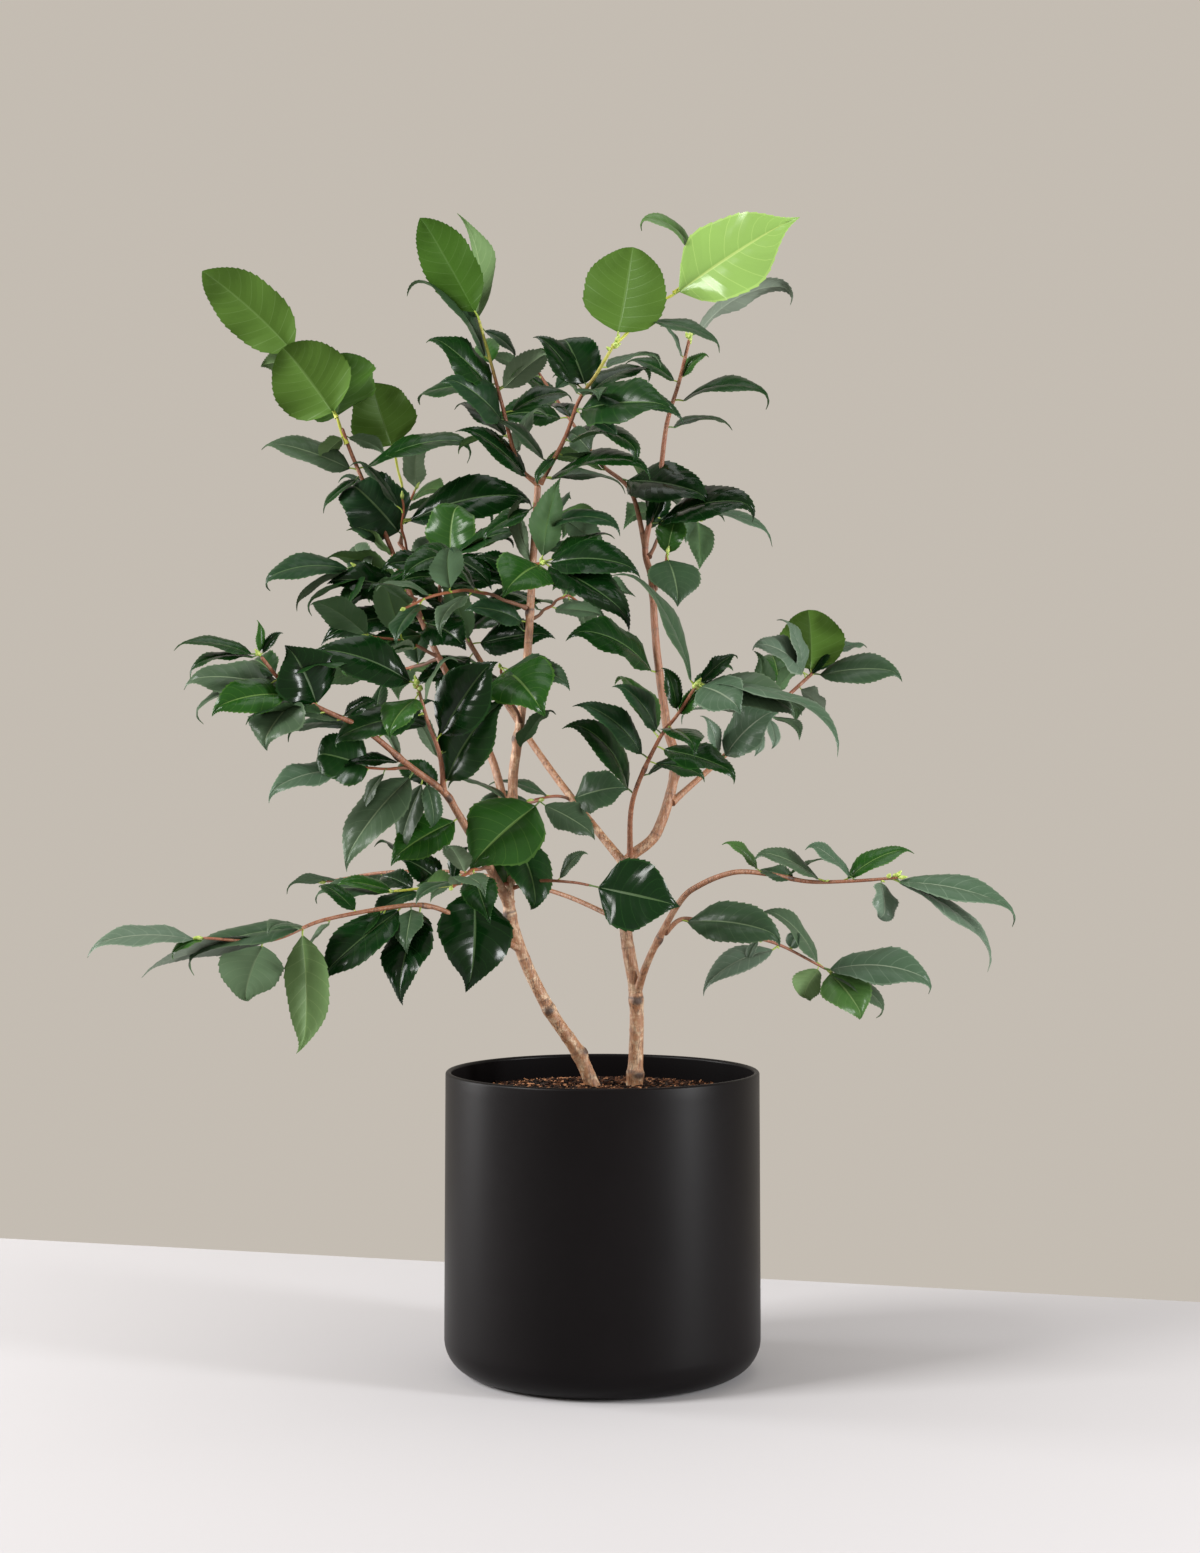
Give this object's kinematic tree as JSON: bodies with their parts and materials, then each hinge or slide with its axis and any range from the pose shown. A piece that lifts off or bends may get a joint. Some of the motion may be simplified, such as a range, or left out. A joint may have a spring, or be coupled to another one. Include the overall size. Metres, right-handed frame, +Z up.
{
  "type": "potted camellia shrub",
  "caption": "Young evergreen camellia shrub with slim branching stems, glossy toothed leaves and pale new growth, rooted in a round matte black pot.",
  "frame": {"origin": "middle of the pot's flat underside, on the surface it stands on", "axes": "+Z up, -Y towards the front that faces the viewer, +X to the viewer's right"},
  "size_m": [0.6883, 0.3979, 0.9326],
  "materials": {
    "pot": "smooth satin black, thin even wall with an eased rim",
    "soil": "loose fine bark and peat crumbs, dull brown",
    "bark": "smooth tan bark with fine grey flecks and low knots",
    "twig": "thin red-brown young bark",
    "leaf": "deep green leaf with a waxy gloss and a paler matte underside",
    "young_leaf": "soft yellow-green new leaf with light veins",
    "bud": "pale green scaly buds"
  },
  "bodies": {
    "root": {"pot": "pot", "soil": "soil", "stem_left": "bark", "stem_right": "bark", "leader_left": "bark", "leader_right": "bark", "bough_side_left": "bark", "bough_side_upper": "bark", "bough_side_outer": "bark", "bough_rear_left": "bark", "bough_crossing": "bark", "bough_middle": "bark", "bough_right": "bark", "bough_low_right": "bark", "bough_low_right_rear": "bark", "bough_low_rear": "bark", "bough_low_left": "bark", "twig_centre": "twig", "twig_top_left": "twig", "twig_top_centre": "twig", "twig_upper_right": "twig", "twig_upper_rear": "twig", "leaves_top_left": "young_leaf", "leaves_top_leader": "young_leaf", "leaves_top_centre": "young_leaf", "leaves_top_right": "young_leaf", "leaves_upper_right": "leaf", "leaves_upper_right_rear": "leaf", "leaves_upper_rear": "leaf", "leaves_upper_left": "leaf", "leaves_upper_inner": "leaf", "leaves_upper_back": "leaf", "leaves_middle_left": "leaf", "leaves_back_left": "leaf", "leaves_front_left": "leaf", "leaves_left_tip": "leaf", "leaves_left_hanging": "leaf", "leaves_centre_left": "leaf", "leaves_centre_upper": "leaf", "leaves_centre_back": "leaf", "leaves_centre_top": "leaf", "leaves_centre_low": "leaf", "leaves_centre_right": "leaf", "leaves_right": "leaf", "leaves_right_rear": "leaf", "leaves_low_right": "leaf", "leaves_low_right_rear": "leaf", "leaves_low_rear": "leaf", "leaves_low_front": "leaf", "leaves_low_left": "leaf", "leaves_low_left_tip": "leaf", "leaf_centre": "leaf"}
  },
  "joints": []
}
